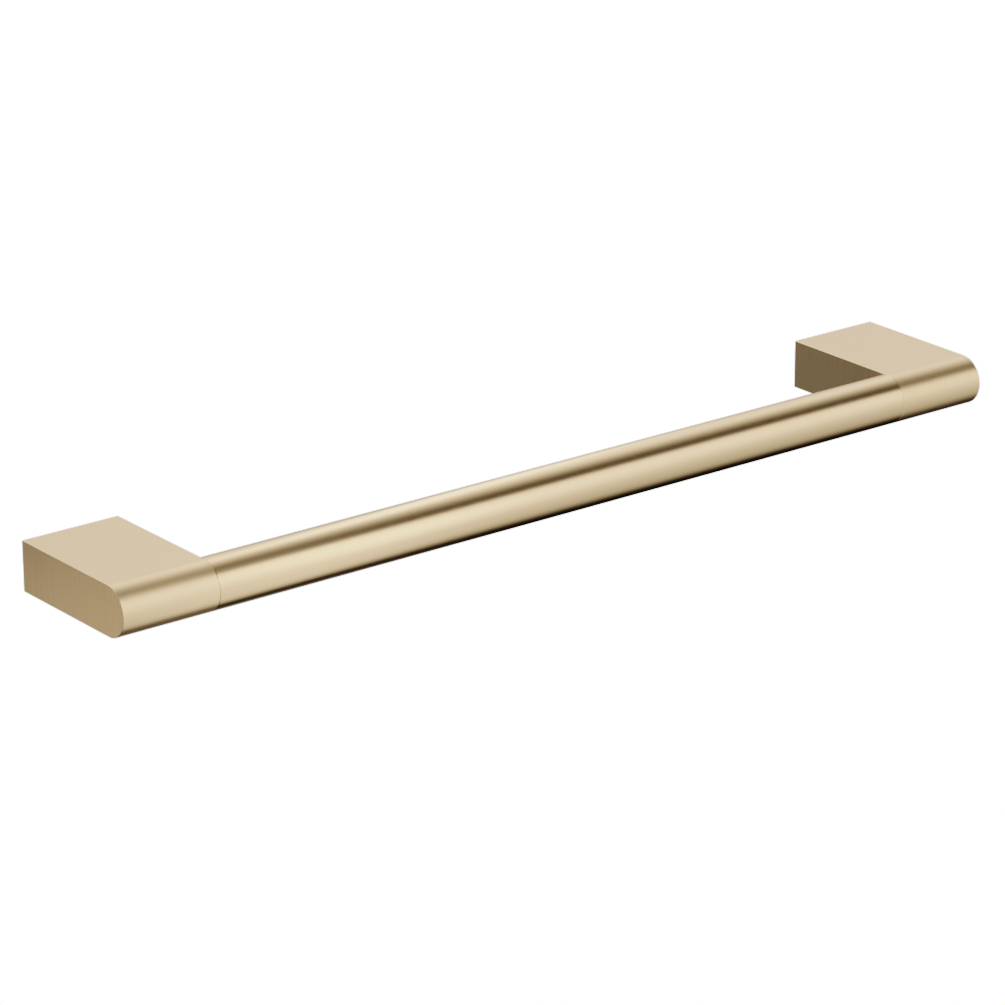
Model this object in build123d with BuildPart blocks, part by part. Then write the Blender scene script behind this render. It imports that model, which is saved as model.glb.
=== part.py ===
from build123d import *
from math import radians, tan
import os

# Wall-mounted towel rail: two thick D-section posts carry a round tube that runs flush into their noses.
# The wall is the plane Y = 0 and the rail stands out towards -Y. X runs along the tube and Z is up.
# The origin is on the wall, midway between the posts and at their mid height. All sizes are millimetres.

# Overall form
overall_length = 500.0  # outer end of one post to outer end of the other
post_width = 50.0  # one post, along the rail
projection = 80.0  # wall to the front of the nose
section_height = 24.0  # thickness of the posts, and diameter of the tube
post_edge_break = 0.4  # chamfer along the outline of each end face of a post

# Hollow at the back of a post
pocket_wall = 3.5  # left on all four sides at the wall
pocket_corner = 3.0
pocket_draft = 1.0  # degrees, so that the core draws out
nose_web = 12.0  # metal between the hollow's floor and the spigot's bore

# Tube between the posts
tube_wall = 1.5
tube_end_chamfer = 0.3

# Turned plug in each end of the tube, with a spigot that enters the post
plug_length = 16.0
spigot_diameter = 12.0
spigot_past_groove = 10.0  # middle of the groove to the spigot's end
turned_chamfer = 0.8
groove_depth = 1.5  # V-groove that takes the point of the spigot screw

# Socket set screws with a 90 degree cone point
spigot_screw_diameter = 6.0
spigot_screw_inset = 6.5  # inner side wall of the hollow to the screw's axis
spigot_screw_recess = 1.0  # below the hollow's floor
lock_screw_diameter = 5.0
lock_screw_recess = 0.7  # above the post's underside
lock_screw_offset = 7.0  # wall to the screw's axis
cone_flat = 1.0  # diameter of the flat on the point
socket_share = 0.5  # key size, as a share of the screw's diameter
socket_depth_share = 0.4
socket_sides = 6
screw_mouth = 0.3  # countersink round the lock screw's hole
screw_mouth_angle = 90.0  # degrees, across the countersink

# Folded bracket that is screwed to the wall, inside the hollow
sheet_thickness = 2.0
inside_bend_radius = 1.0
flange_past_lock = 6.0  # lock screw's axis to the free edge of the flanges
flange_corner = 2.0
lock_hole_diameter = 4.4  # in the lower flange, for the lock screw's point
wall_screw_hole = 5.0
wall_screw_inset = 6.5  # end of the bracket to the middle of each hole
wall_slot_length = 8.0  # overall, of the outer hole, for adjustment along the wall

# Clearances
spigot_clearance = 0.05  # spigot in the post's bore, on the radius
plug_clearance = 0.03  # plug in the tube, on the radius
thread_clearance = 0.05  # screw in its hole, on the radius
point_clearance = 0.05  # cone point to its seat, along the radius
bore_end_clearance = 1.0  # past the end of the spigot
bracket_clearance = 0.3  # flanges to the hollow, above and below, at their free edges

# Places that follow from those sizes
half_height = section_height / 2
outer_end = -overall_length / 2
inner_face = outer_end + post_width
post_centre = outer_end + post_width / 2
rail_y = half_height - projection
rail_axis = Axis((0, rail_y, 0), (1, 0, 0))
tube_radius = half_height
tube_bore_radius = tube_radius - tube_wall
tube_length = -2 * inner_face
spigot_radius = spigot_diameter / 2
spigot_bore_radius = spigot_radius + spigot_clearance
groove_x = inner_face - pocket_wall - spigot_screw_inset
spigot_end = groove_x - spigot_past_groove
pocket_width = post_width - 2 * pocket_wall
pocket_height = section_height - 2 * pocket_wall
pocket_depth = projection - half_height - spigot_bore_radius - nose_web
flange_depth = lock_screw_offset + flange_past_lock
draft_at_flange = flange_depth * tan(radians(pocket_draft))
bracket_width = pocket_width - 2 * pocket_corner
bracket_height = pocket_height - 2 * (bracket_clearance + draft_at_flange)
wall_screw_offset = bracket_width / 2 - wall_screw_inset
lock_hole_radius = lock_hole_diameter / 2


def set_screw(seat, diameter, plain_length):
    """Socket set screw whose socket end lies on the seat plane, with its point along the plane's normal."""
    radius = diameter / 2
    with BuildPart() as screw:
        with BuildSketch(seat):
            Circle(radius)
        extrude(amount=plain_length)
        with Locations(seat.offset(plain_length)):
            Cone(radius, cone_flat / 2, radius - cone_flat / 2, align=(Align.CENTER, Align.CENTER, Align.MIN))
        with BuildSketch(seat):
            RegularPolygon(diameter * socket_share / 2, socket_sides, major_radius=False)
        extrude(amount=diameter * socket_depth_share, mode=Mode.SUBTRACT)
    return screw


# Left post: D-section arm, hollow at the back, with a solid nose that is bored for the spigot
with BuildPart() as left_post:
    with BuildSketch(Plane.YZ.offset(outer_end)):
        with BuildLine():
            top = Line((0, half_height), (rail_y, half_height))
            nose = ThreePointArc(top @ 1, (-projection, 0), (rail_y, -half_height))
            underside = Line(nose @ 1, (0, -half_height))
            Line(underside @ 1, top @ 0)
        make_face()
    extrude(amount=post_width)
    end_outlines = left_post.faces().filter_by(Axis.X).edges()
    chamfer(end_outlines.filter_by(Axis.Z, reverse=True), post_edge_break)

    with BuildSketch(Plane.XZ):
        with Locations((post_centre, 0)):
            RectangleRounded(pocket_width, pocket_height, pocket_corner)
    extrude(amount=pocket_depth, taper=pocket_draft, mode=Mode.SUBTRACT)

    with Locations(Plane((inner_face, rail_y, 0), x_dir=(0, 1, 0), z_dir=(1, 0, 0))):
        Hole(spigot_bore_radius, inner_face - spigot_end + bore_end_clearance)
    with Locations(Plane((groove_x, -pocket_depth, 0), x_dir=(1, 0, 0), z_dir=(0, 1, 0))):
        Hole(spigot_screw_diameter / 2 + thread_clearance, nose_web + spigot_bore_radius)
    with Locations(Plane((post_centre, -lock_screw_offset, -half_height), x_dir=(1, 0, 0), z_dir=(0, 0, -1))):
        lock_thread_radius = lock_screw_diameter / 2 + thread_clearance
        CounterSinkHole(lock_thread_radius, lock_thread_radius + screw_mouth, half_height, screw_mouth_angle)

# Tube, cut square and butted between the inner faces of the posts
with BuildPart() as rail_tube:
    with BuildSketch(Plane.YZ.offset(inner_face)):
        with Locations((rail_y, 0)):
            Circle(tube_radius)
            Circle(tube_bore_radius, mode=Mode.SUBTRACT)
    extrude(amount=tube_length)
    outer_rims = rail_tube.edges().filter_by(GeomType.CIRCLE).group_by(SortBy.RADIUS)[-1]
    chamfer(outer_rims, tube_end_chamfer)

# Left spigot: turned plug, flush with the tube's end, with a grooved spigot that enters the post
with BuildPart() as left_rail_spigot:
    plug_radius = tube_bore_radius - plug_clearance
    plug_end = inner_face + plug_length
    with BuildSketch(Plane((0, rail_y, 0), x_dir=(1, 0, 0), z_dir=(0, 0, 1))):
        with BuildLine():
            Polyline(
                (spigot_end, 0),
                (spigot_end, spigot_radius - turned_chamfer),
                (spigot_end + turned_chamfer, spigot_radius),
                (groove_x - groove_depth, spigot_radius),
                (groove_x, spigot_radius - groove_depth),
                (groove_x + groove_depth, spigot_radius),
                (inner_face, spigot_radius),
                (inner_face, plug_radius),
                (plug_end - turned_chamfer, plug_radius),
                (plug_end, plug_radius - turned_chamfer),
                (plug_end, 0),
                close=True,
            )
        make_face()
    revolve(axis=rail_axis)

# Left spigot screw: along -Y from the floor of the hollow, with its point in the spigot's groove
spigot_screw_seat = -pocket_depth - spigot_screw_recess
spigot_point_start = rail_y + spigot_radius - groove_depth + point_clearance + spigot_screw_diameter / 2
left_spigot_screw = set_screw(
    Plane((groove_x, spigot_screw_seat, 0), x_dir=(1, 0, 0), z_dir=(0, -1, 0)),
    spigot_screw_diameter,
    spigot_screw_seat - spigot_point_start,
)

# Left wall bracket: folded strip with its web on the wall and a flange above and below
with BuildPart() as left_wall_bracket:
    with BuildSketch(Plane.YZ.offset(post_centre - bracket_width / 2)):
        with BuildLine():
            FilletPolyline(
                (-flange_depth, bracket_height / 2),
                (0, bracket_height / 2),
                (0, -bracket_height / 2),
                (-flange_depth, -bracket_height / 2),
                radius=inside_bend_radius + sheet_thickness,
            )
            offset(amount=sheet_thickness, side=Side.RIGHT)
        make_face()
    extrude(amount=bracket_width)
    free_corners = left_wall_bracket.edges().filter_by(Axis.Z).group_by(Axis.Y)[0]
    fillet(free_corners, flange_corner)

    with Locations(Plane((post_centre + wall_screw_offset, 0, 0), x_dir=(1, 0, 0), z_dir=(0, 1, 0))):
        Hole(wall_screw_hole / 2, sheet_thickness)
    with BuildSketch(Plane.XZ):
        with Locations((post_centre - wall_screw_offset, 0)):
            SlotOverall(wall_slot_length, wall_screw_hole)
    extrude(amount=sheet_thickness, mode=Mode.SUBTRACT)
    flange_underside = Plane(
        (post_centre, -lock_screw_offset, -bracket_height / 2), x_dir=(1, 0, 0), z_dir=(0, 0, -1)
    )
    with Locations(flange_underside):
        Hole(lock_hole_radius, sheet_thickness)

# Left lock screw: upwards from the underside of the post, with its point in the bracket's lower flange
lock_screw_seat = lock_screw_recess - half_height
lock_point_start = lock_hole_radius - point_clearance - lock_screw_diameter / 2 - bracket_height / 2
left_lock_screw = set_screw(
    Plane((post_centre, -lock_screw_offset, lock_screw_seat), x_dir=(1, 0, 0), z_dir=(0, 0, 1)),
    lock_screw_diameter,
    lock_point_start - lock_screw_seat,
)

os.makedirs("parts", exist_ok=True)
rail_tube.part.label = "rail_tube"
export_step(rail_tube.part, "parts/rail_tube.step")

# The right end is the left one mirrored
left_pieces = {
    "post": left_post,
    "rail_spigot": left_rail_spigot,
    "spigot_screw": left_spigot_screw,
    "wall_bracket": left_wall_bracket,
    "lock_screw": left_lock_screw,
}
for name, left_piece in left_pieces.items():
    left_piece.part.label = f"left_{name}"
    export_step(left_piece.part, f"parts/left_{name}.step")
    with BuildPart() as right_piece:
        mirror(left_piece.part, about=Plane.YZ)
    right_piece.part.label = f"right_{name}"
    export_step(right_piece.part, f"parts/right_{name}.step")
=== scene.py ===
import math

import bmesh
import bpy
from mathutils import Matrix, Quaternion, Vector


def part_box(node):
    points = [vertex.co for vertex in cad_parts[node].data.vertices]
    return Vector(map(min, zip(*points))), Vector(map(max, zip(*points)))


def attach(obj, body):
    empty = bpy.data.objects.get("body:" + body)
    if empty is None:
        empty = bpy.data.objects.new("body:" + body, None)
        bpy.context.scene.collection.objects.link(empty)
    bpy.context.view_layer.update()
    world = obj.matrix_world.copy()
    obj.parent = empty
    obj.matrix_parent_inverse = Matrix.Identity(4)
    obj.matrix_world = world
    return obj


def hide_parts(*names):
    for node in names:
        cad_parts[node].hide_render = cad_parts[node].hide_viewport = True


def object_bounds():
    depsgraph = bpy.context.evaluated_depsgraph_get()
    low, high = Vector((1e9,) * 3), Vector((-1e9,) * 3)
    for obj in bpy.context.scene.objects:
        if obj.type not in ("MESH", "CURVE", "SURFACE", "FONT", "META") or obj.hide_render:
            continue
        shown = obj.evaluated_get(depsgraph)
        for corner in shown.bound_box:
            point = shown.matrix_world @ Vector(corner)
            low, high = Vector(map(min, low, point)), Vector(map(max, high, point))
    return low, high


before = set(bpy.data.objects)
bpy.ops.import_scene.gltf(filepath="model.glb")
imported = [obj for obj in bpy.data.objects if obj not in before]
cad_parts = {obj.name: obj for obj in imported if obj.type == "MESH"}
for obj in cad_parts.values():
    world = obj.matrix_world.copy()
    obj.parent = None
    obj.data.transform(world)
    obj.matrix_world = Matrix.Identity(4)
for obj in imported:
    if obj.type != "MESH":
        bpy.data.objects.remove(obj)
cad_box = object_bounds()

# Wall brackets: at each end a strip of stainless sheet, folded into a shallow channel.
# Its web is screwed flat to the wall through a round hole and a slot, and its two flanges
# reach into the hollow back of the post.
ends = {"left": 1, "right": -1}  # each with the way along X to the middle of the rail
steel_sheet = 0.002
fold_radius = 0.003  # outside of the fold
fold_steps = 6
flange_corner = 0.002
flange_corner_steps = 4
sheet_edge_break = 0.0002
sheet_edge_steps = 2
wall_hole_radius = 0.0025
wall_hole_offset = 0.012  # middle of the bracket to the hole and to the slot
wall_slot_reach = 0.0015  # middle of the slot to the centre of each round end
lock_hole_radius = 0.0022
lock_screw_depth = 0.007  # wall to the middle of the lock screw
hole_steps = 46
cut_past = 0.001  # how far a cutter stands out of the metal
weld = 0.000001  # points closer than this are one
sharp_angle = math.radians(40)


def new_piece(name, bm, *finishes):
    """A piece at the origin from a shaped bmesh, with its finishes in the order of the mesh's slots."""
    mesh = bpy.data.meshes.new(name)
    bm.to_mesh(mesh)
    bm.free()
    piece = bpy.data.objects.new(name, mesh)
    bpy.context.scene.collection.objects.link(piece)
    for finish in finishes:
        mesh.materials.append(finish)
    return piece


def apply_modifiers(piece):
    """Makes the result of the piece's modifiers its own mesh."""
    depsgraph = bpy.context.evaluated_depsgraph_get()
    worked = piece.evaluated_get(depsgraph)
    mesh = bpy.data.meshes.new_from_object(worked, preserve_all_data_layers=True, depsgraph=depsgraph)
    piece.modifiers.clear()
    piece.data = mesh
    mesh.name = piece.name


def cut_out(piece, cutters):
    """Takes the cutters' solids out of the piece, and leaves their finishes on the walls that they made."""
    for cutter in cutters:
        cut = piece.modifiers.new(cutter.name, "BOOLEAN")
        cut.object = cutter
        cut.operation = "DIFFERENCE"
        cut.solver = "EXACT"
        cut.material_mode = "TRANSFER"
    apply_modifiers(piece)
    for cutter in cutters:
        bpy.data.objects.remove(cutter)

    # Faces that the cuts left without an area
    bm = bmesh.new()
    bm.from_mesh(piece.data)
    bmesh.ops.dissolve_degenerate(bm, dist=weld, edges=bm.edges[:])
    bm.to_mesh(piece.data)
    bm.free()


def even_shading(piece):
    """Smooth shading that breaks at the hard edges and keeps the flats flat."""
    piece.data.shade_smooth()
    piece.data.set_sharp_from_angle(angle=sharp_angle)
    weighted = piece.modifiers.new("weighted_normals", "WEIGHTED_NORMAL")
    weighted.keep_sharp = True
    apply_modifiers(piece)


def move_drawn(bm, drawn, way):
    """Moves the points that an extrude has just drawn."""
    points = [part for part in drawn["geom"] if isinstance(part, bmesh.types.BMVert)]
    bmesh.ops.translate(bm, verts=points, vec=way)


def round_off(bm, parts, size, steps, affect="EDGES"):
    """Rounds off edges, or the corners of a flat shape."""
    bmesh.ops.bevel(
        bm, geom=parts, offset=size, segments=steps, profile=0.5, affect=affect, material=-1
    )


def drill(bm, start, end, radius):
    """Adds a round cutter between two points."""
    along = end - start
    turn = along.to_track_quat("Z", "Y").to_matrix().to_4x4()
    place = Matrix.Translation((start + end) / 2) @ turn
    bmesh.ops.create_cone(
        bm, cap_ends=True, segments=hole_steps, radius1=radius, radius2=radius,
        depth=along.length, matrix=place,
    )


def add_node(tree, kind, values=(), **settings):
    """A node in the tree, with its settings and the values of its unlinked inputs."""
    node = tree.nodes.new(kind)
    for name, value in settings.items():
        setattr(node, name, value)
    for name, value in dict(values).items():
        node.inputs[name].default_value = value
    return node


def metal_marks_group():
    """Fine drawn or brushed marks: Marks says how many a metre holds along each axis of the piece."""
    group = bpy.data.node_groups.new("metal_marks", "ShaderNodeTree")
    group.interface.new_socket("Marks", in_out="INPUT", socket_type="NodeSocketVector")
    group.interface.new_socket("Fine", in_out="OUTPUT", socket_type="NodeSocketFloat")
    group.interface.new_socket("Broad", in_out="OUTPUT", socket_type="NodeSocketFloat")
    entry = add_node(group, "NodeGroupInput")
    leave = add_node(group, "NodeGroupOutput")
    place = add_node(group, "ShaderNodeTexCoord")
    stretched = add_node(group, "ShaderNodeVectorMath", operation="MULTIPLY")
    fine = add_node(group, "ShaderNodeTexNoise", {"Scale": 1.0, "Detail": 4.0, "Roughness": 0.7})
    broad = add_node(group, "ShaderNodeTexNoise", {"Scale": 0.15, "Detail": 2.0, "Roughness": 0.5})
    link = group.links.new
    link(place.outputs["Object"], stretched.inputs[0])
    link(entry.outputs["Marks"], stretched.inputs[1])
    link(stretched.outputs["Vector"], fine.inputs["Vector"])
    link(stretched.outputs["Vector"], broad.inputs["Vector"])
    link(fine.outputs["Fac"], leave.inputs["Fine"])
    link(broad.outputs["Fac"], leave.inputs["Broad"])
    return group


metal_marks = metal_marks_group()


def marked_metal(name, marks, dark, light, smooth, rough, mark_depth):
    """Bare or plated metal whose marks vary its colour between dark and light, and its roughness."""
    finish = bpy.data.materials.new(name)
    finish.use_nodes = True
    tree = finish.node_tree
    shader = tree.nodes["Principled BSDF"]
    shader.inputs["Metallic"].default_value = 1.0
    grain = add_node(tree, "ShaderNodeGroup", node_tree=metal_marks)
    grain.inputs["Marks"].default_value = marks
    colour = add_node(tree, "ShaderNodeMix", data_type="RGBA")
    colour.inputs["A"].default_value = (*dark, 1.0)
    colour.inputs["B"].default_value = (*light, 1.0)
    sheen = add_node(tree, "ShaderNodeMapRange", {"To Min": smooth, "To Max": rough})
    relief = add_node(tree, "ShaderNodeBump", {"Strength": 1.0, "Distance": mark_depth})
    link = tree.links.new
    link(grain.outputs["Fine"], colour.inputs["Factor"])
    link(grain.outputs["Broad"], sheen.inputs["Value"])
    link(grain.outputs["Fine"], relief.inputs["Height"])
    link(colour.outputs["Result"], shader.inputs["Base Color"])
    link(sheen.outputs["Result"], shader.inputs["Roughness"])
    link(relief.outputs["Normal"], shader.inputs["Normal"])
    return finish


rolled_steel = marked_metal(
    "rolled_steel", marks=(30, 1500, 1500), dark=(0.48, 0.47, 0.45), light=(0.62, 0.61, 0.59),
    smooth=0.28, rough=0.42, mark_depth=0.00001,
)

for end, inward in ends.items():
    low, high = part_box(f"{end}_wall_bracket")
    middle = (low + high) / 2

    # The channel's outer face, as a line across the fold that is drawn out along the rail
    bm = bmesh.new()
    corners = ((low.y, high.z), (high.y, high.z), (high.y, low.z), (low.y, low.z))
    fold_line = [bm.verts.new((low.x, y, z)) for y, z in corners]
    for pair in zip(fold_line, fold_line[1:]):
        bm.edges.new(pair)
    round_off(bm, fold_line[1:3], fold_radius, fold_steps, "VERTICES")
    drawn = bmesh.ops.extrude_edge_only(bm, edges=bm.edges[:])
    move_drawn(bm, drawn, (high.x - low.x, 0, 0))
    free_edge = [vert for vert in bm.verts if vert.co.y < low.y + cut_past]
    free_corners = [vert for vert in free_edge if len(vert.link_edges) == 2]
    round_off(bm, free_corners, flange_corner, flange_corner_steps, "VERTICES")

    # The sheet's thickness, turned inwards, and its broken edges
    bmesh.ops.recalc_face_normals(bm, faces=bm.faces[:])
    web = min(bm.faces, key=lambda face: abs(face.calc_center_median().z) + abs(face.normal.z))
    outwards = web.normal.y > 0
    bmesh.ops.solidify(bm, geom=bm.faces[:], thickness=steel_sheet if outwards else -steel_sheet)
    bmesh.ops.recalc_face_normals(bm, faces=bm.faces[:])
    hard = [edge for edge in bm.edges if edge.is_manifold and edge.calc_face_angle() > sharp_angle]
    round_off(bm, hard, sheet_edge_break, sheet_edge_steps)
    bracket = new_piece(f"{end}_bracket", bm, rolled_steel)

    # Wall screw hole on the inner side, slot on the outer side, and the lock screw's hole below
    through_web = (high.y + cut_past, high.y - steel_sheet - cut_past)
    hole_x = middle.x + inward * wall_hole_offset
    bm = bmesh.new()
    drill(bm, *(Vector((hole_x, y, 0)) for y in through_web), wall_hole_radius)
    wall_hole = new_piece("wall_hole", bm, rolled_steel)
    slot_x = middle.x - inward * wall_hole_offset
    bm = bmesh.new()
    drill(bm, *(Vector((slot_x, y, 0)) for y in through_web), wall_hole_radius)
    for vert in bm.verts:
        vert.co.x += math.copysign(wall_slot_reach, vert.co.x - slot_x)
    wall_slot = new_piece("wall_slot", bm, rolled_steel)
    through_flange = (low.z - cut_past, low.z + steel_sheet + cut_past)
    bm = bmesh.new()
    drill(bm, *(Vector((middle.x, -lock_screw_depth, z)) for z in through_flange), lock_hole_radius)
    lock_hole = new_piece("lock_hole", bm, rolled_steel)
    cut_out(bracket, [wall_hole, wall_slot, lock_hole])
    even_shading(bracket)
    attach(bracket, "root")
    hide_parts(f"{end}_wall_bracket")

# Posts: a brass arm of D section at each end, cast hollow at the back and solid at the nose.
# It is brushed, upright on its sides and along the rail elsewhere, and plated in pale gold,
# and it slides over the bracket.
post_low, post_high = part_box("left_post")
half_height = (post_high.z - post_low.z) / 2
rail_y = post_low.y + half_height  # middle of the round nose, and of the rail
nose_steps = 64
post_edge_break = 0.00025
post_edge_steps = 3
side_facing = 0.99  # how nearly the faces of a side look along the rail
hollow_wall = 0.0035
hollow_depth = 0.04995
hollow_corner = 0.003
hollow_corner_steps = 6
hollow_draft = math.radians(1)
spigot_bore_radius = 0.00605
spigot_bore_depth = 0.021
spigot_screw_inset = 0.010  # inner face of the post to the spigot screw
spigot_screw_hole_radius = 0.00305
lock_thread_radius = 0.00255
lock_mouth = 0.0003  # countersink round the lock screw's hole
gold = Vector((0.882, 0.670, 0.421))
brush_depth = 0.000003


def turned(outline):
    """A solid turned about Z, from an outline of radii and heights that starts and ends on the axis."""
    bm = bmesh.new()
    points = [bm.verts.new((radius, 0, height)) for radius, height in outline]
    sides = [bm.edges.new(pair) for pair in zip(points, points[1:])]
    bmesh.ops.spin(
        bm, geom=points + sides, cent=(0, 0, 0), axis=(0, 0, 1), angle=2 * math.pi,
        steps=hole_steps, use_merge=True,
    )
    bmesh.ops.remove_doubles(bm, verts=bm.verts[:], dist=weld)
    bmesh.ops.recalc_face_normals(bm, faces=bm.faces[:])
    return bm


def brushed_gold(name, marks, streaks, smooth, rough, anisotropy):
    """Pale gold plate with lighter and darker streaks, which draws reflections out across its marks."""
    finish = marked_metal(
        name, marks, gold * (1 - streaks), gold * (1 + streaks), smooth, rough, brush_depth
    )
    tree = finish.node_tree
    shader = tree.nodes["Principled BSDF"]
    across = add_node(tree, "ShaderNodeTangent", direction_type="UV_MAP", uv_map="grain")
    tree.links.new(across.outputs["Tangent"], shader.inputs["Tangent"])
    shader.inputs["Anisotropic"].default_value = anisotropy
    return finish


gold_along = brushed_gold(
    "gold_brushed_along", marks=(12, 1100, 1100), streaks=0.03, smooth=0.285, rough=0.345, anisotropy=0.5
)
gold_upright = brushed_gold(
    "gold_brushed_upright", marks=(600, 600, 7), streaks=0.14, smooth=0.30, rough=0.36, anisotropy=0.6
)
cast_brass = marked_metal(
    "cast_brass", marks=(700, 700, 700), dark=(0.42, 0.27, 0.12), light=(0.58, 0.40, 0.19),
    smooth=0.48, rough=0.62, mark_depth=0.00006,
)

for end, inward in ends.items():
    low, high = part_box(f"{end}_post")
    middle = (low + high) / 2
    outer_x, inner_x = (low.x, high.x) if inward > 0 else (high.x, low.x)

    # D outline at the outer end, drawn out to the inner face
    bm = bmesh.new()
    back_top = bm.verts.new((outer_x, high.y, high.z))
    nose_top = bm.verts.new((outer_x, rail_y, high.z))
    bm.edges.new((back_top, nose_top))
    nose = bmesh.ops.spin(
        bm, geom=[nose_top], cent=(outer_x, rail_y, 0), axis=(1, 0, 0), angle=math.pi, steps=nose_steps
    )
    nose_under = nose["geom_last"][0]
    back_under = bm.verts.new((outer_x, high.y, low.z))
    bm.edges.new((nose_under, back_under))
    bm.edges.new((back_under, back_top))
    bmesh.ops.contextual_create(bm, geom=bm.edges[:])
    drawn = bmesh.ops.extrude_face_region(bm, geom=bm.faces[:])
    move_drawn(bm, drawn, (inner_x - outer_x, 0, 0))
    bmesh.ops.recalc_face_normals(bm, faces=bm.faces[:])
    outlines = [
        edge
        for edge in bm.edges
        if abs(edge.verts[0].co.x - edge.verts[1].co.x) < cut_past
        and min(vert.co.y for vert in edge.verts) < high.y - cut_past
    ]
    round_off(bm, outlines, post_edge_break, post_edge_steps)

    # Grain map: U runs across the brush marks, which stand upright on the sides
    grain_map = bm.loops.layers.uv.new("grain")
    for face in bm.faces:
        upright = abs(face.normal.x) > side_facing
        face.material_index = 1 if upright else 0
        for loop in face.loops:
            x, y, z = loop.vert.co
            round_arm = math.atan2(z, middle.y - y) * half_height
            loop[grain_map].uv = (y, z) if upright else (round_arm, x)
    post = new_piece(f"{end}_arm", bm, gold_along, gold_upright)

    # Hollow at the back, with drafted walls and rounded corners
    bm = bmesh.new()
    hollow_length = hollow_depth + cut_past
    mouth_wall = hollow_wall - cut_past * math.tan(hollow_draft)
    mouth_x = (high.x - low.x) - 2 * mouth_wall
    mouth_z = (high.z - low.z) - 2 * mouth_wall
    bmesh.ops.create_cube(bm, size=1.0)
    bmesh.ops.scale(bm, verts=bm.verts[:], vec=(mouth_x, hollow_length, mouth_z))
    bmesh.ops.translate(bm, verts=bm.verts[:], vec=(middle.x, cut_past - hollow_length / 2, 0))
    lengthwise = [edge for edge in bm.edges if abs(edge.verts[0].co.y - edge.verts[1].co.y) > cut_past]
    round_off(bm, lengthwise, hollow_corner, hollow_corner_steps)
    drawn_in = hollow_length * math.tan(hollow_draft)
    floor_scale = (1 - 2 * drawn_in / mouth_x, 1, 1 - 2 * drawn_in / mouth_z)
    hollow_floor = [vert for vert in bm.verts if vert.co.y < -hollow_depth / 2]
    about_middle = Matrix.Translation((-middle.x, 0, 0))
    bmesh.ops.scale(bm, verts=hollow_floor, vec=floor_scale, space=about_middle)
    hollow = new_piece("hollow", bm, cast_brass)

    # Bore for the spigot, hole for the screw that holds it, and the countersunk lock screw hole below
    bm = bmesh.new()
    bore_line = (inner_x + inward * cut_past, inner_x - inward * spigot_bore_depth)
    drill(bm, *(Vector((x, rail_y, 0)) for x in bore_line), spigot_bore_radius)
    spigot_bore = new_piece("spigot_bore", bm, cast_brass)
    bm = bmesh.new()
    screw_x = inner_x - inward * spigot_screw_inset
    screw_line = (cut_past - hollow_depth, rail_y)
    drill(bm, *(Vector((screw_x, y, 0)) for y in screw_line), spigot_screw_hole_radius)
    spigot_screw_hole = new_piece("spigot_screw_hole", bm, cast_brass)
    lock_hole_outline = (
        (0, low.z - cut_past),
        (lock_thread_radius + lock_mouth + cut_past, low.z - cut_past),
        (lock_thread_radius, low.z + lock_mouth),
        (lock_thread_radius, low.z + hollow_wall + cut_past),
        (0, low.z + hollow_wall + cut_past),
    )
    bm = turned(lock_hole_outline)
    bmesh.ops.translate(bm, verts=bm.verts[:], vec=(middle.x, -lock_screw_depth, 0))
    lock_screw_hole = new_piece("lock_screw_hole", bm, cast_brass)
    cut_out(post, [hollow, spigot_bore, spigot_screw_hole, lock_screw_hole])
    even_shading(post)
    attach(post, "root")
    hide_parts(f"{end}_post")

# Rail tube: a straight brass tube as thick as the posts, brushed round and plated in the same
# pale gold. Its ends are cut square with a small chamfer, and spigots hold it between the posts.
tube_wall = 0.0015
tube_end_chamfer = 0.00015
hairline = 0.00004  # joint between the tube's end and the post
tube_steps = 160
gold_round = brushed_gold(
    "gold_brushed_round", marks=(1100, 12, 12), streaks=0.05, smooth=0.26, rough=0.31, anisotropy=0.55
)

low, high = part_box("rail_tube")
tube_start = low.x + hairline
tube_end = high.x - hairline
tube_radius = half_height
tube_outline = (
    (tube_start, tube_radius - tube_wall),
    (tube_start, tube_radius - tube_end_chamfer),
    (tube_start + tube_end_chamfer, tube_radius),
    (tube_end - tube_end_chamfer, tube_radius),
    (tube_end, tube_radius - tube_end_chamfer),
    (tube_end, tube_radius - tube_wall),
)
bm = bmesh.new()
section = [bm.verts.new((x, rail_y, radius)) for x, radius in tube_outline]
for pair in zip(section, section[1:] + section[:1]):
    bm.edges.new(pair)
bmesh.ops.spin(
    bm, geom=bm.edges[:], cent=(0, rail_y, 0), axis=(1, 0, 0), angle=2 * math.pi,
    steps=tube_steps, use_merge=True,
)
bmesh.ops.recalc_face_normals(bm, faces=bm.faces[:])
grain_map = bm.loops.layers.uv.new("grain")
for loop in (loop for face in bm.faces for loop in face.loops):
    x, y, z = loop.vert.co
    loop[grain_map].uv = (x, math.atan2(z, rail_y - y) * tube_radius)
tube = new_piece("tube", bm, gold_round)
even_shading(tube)
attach(tube, "root")
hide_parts("rail_tube")

# Rail spigots: a plug of turned brass in each end of the tube, with a grooved nose that enters
# the post. Their solids have the whole shape already, and take a turned finish here.
turned_brass = marked_metal(
    "turned_brass", marks=(1600, 20, 20), dark=(0.62, 0.43, 0.19), light=(0.78, 0.57, 0.27),
    smooth=0.22, rough=0.32, mark_depth=0.00001,
)
for end in ends:
    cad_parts[f"{end}_rail_spigot"].data.materials[0] = turned_brass

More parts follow.
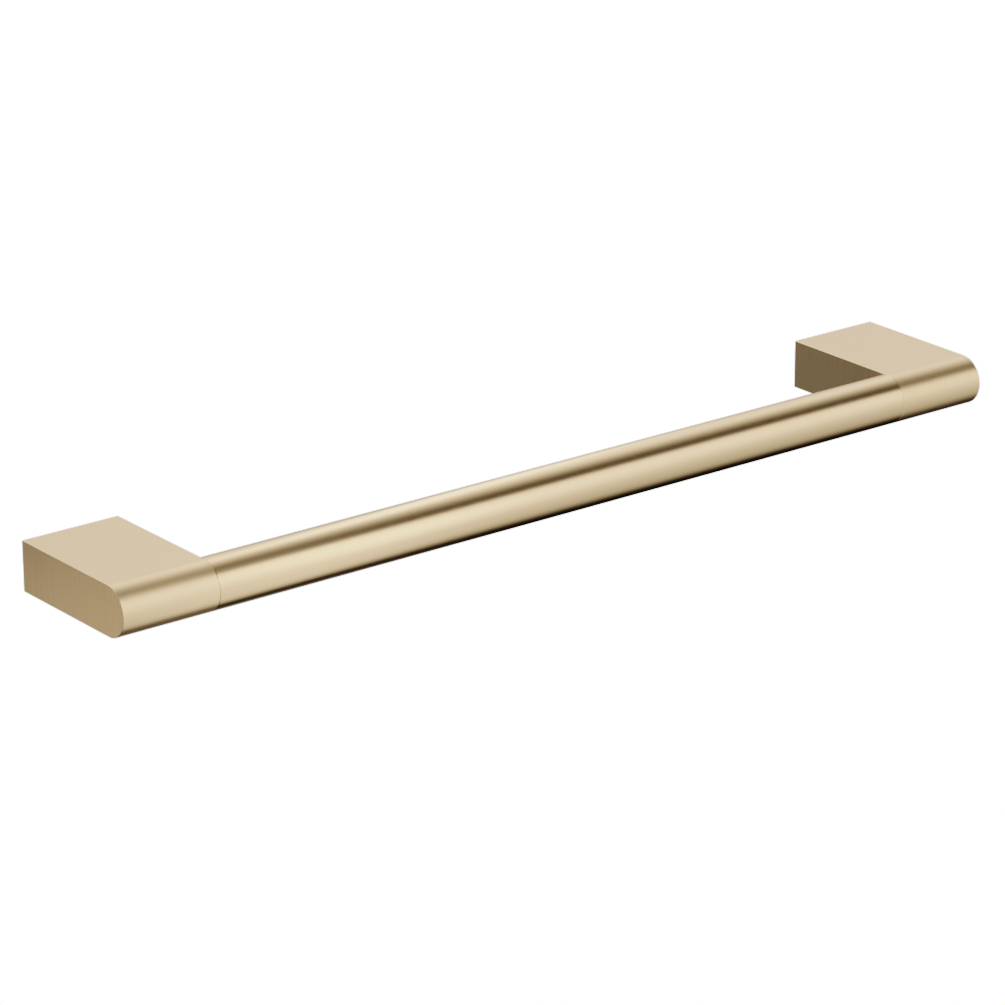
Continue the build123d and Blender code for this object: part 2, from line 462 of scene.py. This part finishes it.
# Set screws: socket screws of stainless steel, with a rolled thread and a cone point.
# One in each post is driven from its hollow into the spigot's groove, and one below each
# post locks it to the bracket.
spigot_screw_radius = 0.003
spigot_screw_pitch = 0.001
lock_screw_radius = 0.0025
lock_screw_pitch = 0.0008
thread_depth = 0.61  # this and the two flats are shares of the pitch
crest_flat = 1 / 8
root_flat = 1 / 6
thread_steps = 40  # round one turn
thread_runout = 2  # turns past each end, which are cut off
thread_weld = 0.000005  # shorter edges at the cuts are closed up
head_chamfer = 0.0003
point_flat_radius = 0.0005
socket_key = 0.5  # this and the depth are shares of the screw's diameter
socket_depth = 0.4
socket_sides = 6
machined_steel = marked_metal(
    "machined_steel", marks=(1500, 1500, 1500), dark=(0.40, 0.40, 0.39), light=(0.56, 0.56, 0.55),
    smooth=0.26, rough=0.40, mark_depth=0.00001,
)


def threaded_rod(length, radius, pitch):
    """A thread along Z with open ends: a toothed line that climbs one pitch in its turn, cut to length."""
    bm = bmesh.new()
    root = radius - thread_depth * pitch
    crest_start = (1 + root_flat - crest_flat) / 2
    tooth = ((0, root), (root_flat, root), (crest_start, radius), (crest_start + crest_flat, radius))
    turns = range(-thread_runout, math.ceil(length / pitch) + thread_runout)
    points = [(reach, (turn + share) * pitch) for turn in turns for share, reach in tooth]
    line = [bm.verts.new((reach, 0, height)) for reach, height in points]
    flanks = [bm.edges.new(pair) for pair in zip(line, line[1:])]
    climb = (0, 0, pitch / thread_steps)
    bmesh.ops.spin(
        bm, geom=line + flanks, cent=(0, 0, 0), axis=(0, 0, 1), dvec=climb, angle=2 * math.pi,
        steps=thread_steps,
    )
    bmesh.ops.remove_doubles(bm, verts=bm.verts[:], dist=weld)
    for height, outwards in ((0, -1), (length, 1)):
        whole = bm.verts[:] + bm.edges[:] + bm.faces[:]
        bmesh.ops.bisect_plane(
            bm, geom=whole, dist=weld, plane_co=(0, 0, height), plane_no=(0, 0, outwards),
            clear_outer=True,
        )
    return bm


def set_screw(name, node, head, tip, radius, pitch):
    """A socket set screw from its head to its tip, in the place of a node."""
    along = tip - head
    bm = threaded_rod(along.length, radius, pitch)

    # Chamfered head and cone point, to which the thread is turned down
    for vert in bm.verts:
        reach = vert.co.xy.length
        head_reach = radius - head_chamfer + vert.co.z
        point_reach = point_flat_radius + along.length - vert.co.z
        vert.co.xy = vert.co.xy * (min(reach, head_reach, point_reach) / reach)
    bmesh.ops.dissolve_degenerate(bm, dist=thread_weld, edges=bm.edges[:])

    # Socket in the head, then its floor and the flat of the point
    rim = [edge for edge in bm.edges if edge.is_boundary and edge.verts[0].co.z < head_chamfer]
    corner = radius * socket_key / math.cos(math.pi / socket_sides)
    bmesh.ops.create_circle(bm, radius=corner, segments=socket_sides)
    key = [edge for edge in bm.edges if edge.is_wire]
    bmesh.ops.triangle_fill(bm, edges=rim + key, use_beauty=True)
    drawn = bmesh.ops.extrude_edge_only(bm, edges=key)
    move_drawn(bm, drawn, (0, 0, 2 * radius * socket_depth))
    bmesh.ops.holes_fill(bm, edges=[edge for edge in bm.edges if edge.is_boundary])
    bmesh.ops.recalc_face_normals(bm, faces=bm.faces[:])
    bmesh.ops.triangulate(bm, faces=bm.faces[:])
    bm.transform(Matrix.Translation(head) @ along.to_track_quat("Z", "Y").to_matrix().to_4x4())
    screw = new_piece(name, bm, machined_steel)
    even_shading(screw)
    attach(screw, "root")
    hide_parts(node)


for end in ends:
    node = f"{end}_spigot_screw"
    low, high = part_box(node)
    middle = (low + high) / 2
    head = Vector((middle.x, high.y, 0))
    tip = Vector((middle.x, low.y, 0))
    set_screw(f"{end}_spigot_set_screw", node, head, tip, spigot_screw_radius, spigot_screw_pitch)
    node = f"{end}_lock_screw"
    low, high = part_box(node)
    middle = (low + high) / 2
    head = Vector((middle.x, -lock_screw_depth, low.z))
    tip = Vector((middle.x, -lock_screw_depth, high.z))
    set_screw(f"{end}_lock_set_screw", node, head, tip, lock_screw_radius, lock_screw_pitch)

# Studio: a floor of white paper below the rail, evenly bright, which the metal doesn't reflect.
# The light comes from a surround that changes in brightness round the rail, and from soft panels.
# The camera stands in front, to the left and a little above.
paper_white = 1.15
floor_drop = 0.3
floor_reach = 40.0
paper = bpy.data.materials.new("white_floor")
paper.use_nodes = True
paper_tree = paper.node_tree
paper_tree.nodes.remove(paper_tree.nodes["Principled BSDF"])
glow = add_node(paper_tree, "ShaderNodeEmission", {"Strength": paper_white})
paper_tree.links.new(glow.outputs["Emission"], paper_tree.nodes["Material Output"].inputs["Surface"])
bm = bmesh.new()
bmesh.ops.create_grid(bm, x_segments=1, y_segments=1, size=floor_reach)
bmesh.ops.translate(bm, verts=bm.verts[:], vec=(0, 0, cad_box[0][2] - floor_drop))
floor = new_piece("floor", bm, paper)
floor.visible_glossy = False
floor.visible_diffuse = False
floor.visible_shadow = False

# Brightness round the rail, by degrees from the front: 90 is overhead and 180 is behind
light_round_rail = (
    (-180, 0.16),
    (-155, 0.16),
    (-138, 0.04),
    (-125, 0.0),
    (-100, 0.0),
    (-90, 0.04),
    (-78, 0.185),
    (-64, 0.34),
    (-20, 0.515),
    (20, 0.805),
    (45.5, 0.79),
    (56.3, 0.14),
    (65, 0.035),
    (76, 0.075),
    (98, 0.345),
    (116, 0.69),
    (132, 0.78),
    (150, 0.665),
    (180, 0.34),
)
studio_strength = 1.15
cool_below = -120  # degrees, so what comes from low behind is cool
cool = Vector((1.0, 1.05, 1.13))
neutral = Vector((1, 1, 1))
world = bpy.data.worlds.new("studio")
world.use_nodes = True
sky = world.node_tree
sky.nodes.clear()
toward = add_node(sky, "ShaderNodeTexCoord")
parts = add_node(sky, "ShaderNodeSeparateXYZ")
front = add_node(sky, "ShaderNodeMath", {1: -1.0}, operation="MULTIPLY")
angle = add_node(sky, "ShaderNodeMath", operation="ARCTAN2")
turn = add_node(sky, "ShaderNodeMapRange", {"From Min": -math.pi, "From Max": math.pi})
ramp = add_node(sky, "ShaderNodeValToRGB")
stops = ramp.color_ramp.elements
stops.remove(stops[0])
for index, (degrees, brightness) in enumerate(light_round_rail):
    place = (degrees + 180) / 360
    stop = stops[0] if index == 0 else stops.new(place)
    stop.position = place
    tint = cool if degrees < cool_below else neutral
    stop.color = (*(brightness * tint), 1.0)
lit = add_node(sky, "ShaderNodeBackground", {"Strength": studio_strength})
backdrop = add_node(sky, "ShaderNodeBackground", {"Color": (1, 1, 1, 1), "Strength": paper_white})
ray = add_node(sky, "ShaderNodeLightPath")
either = add_node(sky, "ShaderNodeMixShader")
out = add_node(sky, "ShaderNodeOutputWorld")
sky.links.new(toward.outputs["Generated"], parts.inputs["Vector"])
sky.links.new(parts.outputs["Y"], front.inputs[0])
sky.links.new(parts.outputs["Z"], angle.inputs[0])
sky.links.new(front.outputs["Value"], angle.inputs[1])
sky.links.new(angle.outputs["Value"], turn.inputs["Value"])
sky.links.new(turn.outputs["Result"], ramp.inputs["Fac"])
sky.links.new(ramp.outputs["Color"], lit.inputs["Color"])
sky.links.new(ray.outputs["Is Camera Ray"], either.inputs["Fac"])
sky.links.new(lit.outputs["Background"], either.inputs[1])
sky.links.new(backdrop.outputs["Background"], either.inputs[2])
sky.links.new(either.outputs["Shader"], out.inputs["Surface"])
bpy.context.scene.world = world

# Soft panels, whose light fades to their edges
panel_spread = 1.29  # a fading panel is larger by this than an even one that lights as widely
fade_power = 36.0  # u (1 - u) v (1 - v) is 1/36 on average over a panel


def soft_edges(tree):
    """Lets a panel's light fade from its middle to nothing at its edges, with its power kept."""
    spot = add_node(tree, "ShaderNodeNewGeometry")
    rest = add_node(tree, "ShaderNodeVectorMath", {0: (1, 1, 1)}, operation="SUBTRACT")
    fade = add_node(tree, "ShaderNodeVectorMath", operation="MULTIPLY")
    ways = add_node(tree, "ShaderNodeSeparateXYZ")
    both = add_node(tree, "ShaderNodeMath", operation="MULTIPLY")
    glow = add_node(tree, "ShaderNodeMath", {1: fade_power}, operation="MULTIPLY")
    tree.links.new(spot.outputs["Parametric"], rest.inputs[1])
    tree.links.new(spot.outputs["Parametric"], fade.inputs[0])
    tree.links.new(rest.outputs["Vector"], fade.inputs[1])
    tree.links.new(fade.outputs["Vector"], ways.inputs["Vector"])
    tree.links.new(ways.outputs["X"], both.inputs[0])
    tree.links.new(ways.outputs["Y"], both.inputs[1])
    tree.links.new(both.outputs["Value"], glow.inputs[0])
    tree.links.new(glow.outputs["Value"], tree.nodes["Emission"].inputs["Strength"])


def softbox(name, place, aim, slant, width, length, power, colour=(1, 1, 1)):
    """A panel of soft light, turned to its aim, with its length round the rail but for its slant."""
    lamp = bpy.data.lights.new(name, "AREA")
    lamp.shape = "RECTANGLE"
    lamp.size = width * panel_spread
    lamp.size_y = length * panel_spread
    lamp.energy = power
    lamp.color = colour
    lamp.use_nodes = True
    soft_edges(lamp.node_tree)
    panel = bpy.data.objects.new(name, lamp)
    back = (place - aim).normalized()
    round_rail = back.cross((1, 0, 0)).normalized()
    axes = Matrix((round_rail.cross(back), round_rail, back)).transposed().to_4x4()
    panel.matrix_world = Matrix.Translation(place) @ axes @ Matrix.Rotation(slant, 4, "Z")
    panel.visible_camera = False
    bpy.context.scene.collection.objects.link(panel)


# Beside the rail: place along it, degrees round it from the front, slant, width, length, power
softbox_distance = 0.3
rail_softboxes = {
    "under_softbox": (-0.03, -124, 0, 0.30, 0.14, 0.021),
    "lower_softbox": (0.012, -53, -20, 0.18, 0.33, 0.051),
    "front_softbox": (0.065, 11, 0, 0.10, 0.486, 0.065),
    "upper_softbox": (-0.07, 60, 0, 0.20, 0.15, 0.020),
    "back_softbox": (0.135, 141, -42, 0.17, 0.34, 0.060),
}
for name, (along, degrees, slant, width, length, power) in rail_softboxes.items():
    aim = Vector((along, rail_y, 0))
    turned_by = math.radians(degrees)
    outwards = Vector((0, -math.cos(turned_by), math.sin(turned_by)))
    place = aim + softbox_distance * outwards
    softbox(name, place, aim, math.radians(slant), width, length, power)

# A warm panel for the left post's end, and a large one far behind at the right
left_end = Vector((-0.25, -0.06, 0))
beside_left_end = Vector((-0.42, 0.13, -0.13))
warm = (1, 0.9, 0.8)
softbox("end_softbox", beside_left_end, left_end, 0, width=0.14, length=0.14, power=0.021, colour=warm)
rail_middle = Vector((0, -0.03, 0))
far_right = Vector((1.0, 0.8, -0.38))
softbox("right_softbox", far_right, rail_middle, 0, width=1.0, length=0.6, power=1.2)

# Picture: strong contrast, with a curve that softens the highlights and lifts the paper to white
white_lift = 20.0
shoulder = ((0.45, 0.455), (0.605, 0.655), (0.81, 1.0), (1.09, 1.55))
all_channels = 3  # the fourth curve, after those of red, green and blue
view = bpy.context.scene.view_settings
view.view_transform = "Filmic"
view.look = "Very High Contrast"
view.use_curve_mapping = True
curves = view.curve_mapping
curves.clip_max_x = paper_white
curves.clip_max_y = white_lift
curve = curves.curves[all_channels]
curve.points[0].location = (0, 0)
curve.points[1].location = (paper_white, white_lift)
for given, shown in shoulder:
    curve.points.new(given, shown)
for point in curve.points:
    point.handle_type = "VECTOR"
curves.update()

# Camera, by its distance and direction from the point that it looks at
view_aim = Vector((-0.014764, -0.039782, -0.012619))
view_azimuth = math.radians(-37.76)
view_elevation = math.radians(20.31)
view_roll = math.radians(-0.1733)
view_distance = 2.06441
camera_data = bpy.data.cameras.new("camera")
camera_data.lens = 159.59
camera_data.sensor_width = 36.0
camera_data.sensor_fit = "HORIZONTAL"
camera = bpy.data.objects.new("camera", camera_data)
bpy.context.scene.collection.objects.link(camera)
level = math.cos(view_elevation)
toward_camera = Vector((
    math.sin(view_azimuth) * level,
    -math.cos(view_azimuth) * level,
    math.sin(view_elevation),
))
look = (-toward_camera).to_track_quat("-Z", "Y")
camera.location = view_aim + view_distance * toward_camera
camera.rotation_mode = "QUATERNION"
camera.rotation_quaternion = look @ Quaternion((0, 0, 1), view_roll)
bpy.context.scene.camera = camera
